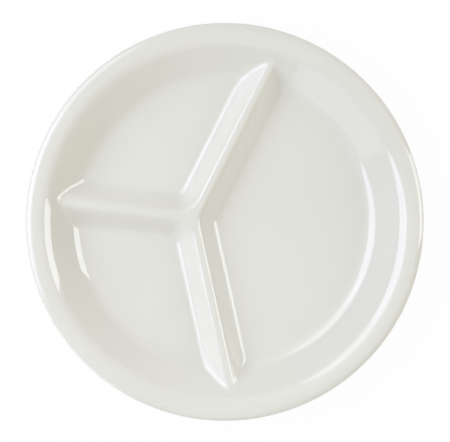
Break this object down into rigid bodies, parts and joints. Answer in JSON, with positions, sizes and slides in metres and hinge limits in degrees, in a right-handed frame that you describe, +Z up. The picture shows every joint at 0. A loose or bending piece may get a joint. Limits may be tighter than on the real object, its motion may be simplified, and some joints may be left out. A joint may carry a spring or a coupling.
{
  "type": "divided compartment plate",
  "caption": "Round moulded plate whose raised Y-shaped divider parts it into compartments that keep foods apart, with a sloping wall, a narrow rim and a foot ring",
  "frame": {"origin": "middle of the foot ring's standing face, on the plate's axis", "axes": "+Z up out of the dish; +X towards the large compartment, with the divider's single arm along -X"},
  "size_m": [0.26, 0.26, 0.027],
  "materials": {
    "melamine": "glossy off-white moulded melamine"
  },
  "bodies": {
    "root": {"plate": "melamine"}
  },
  "joints": []
}
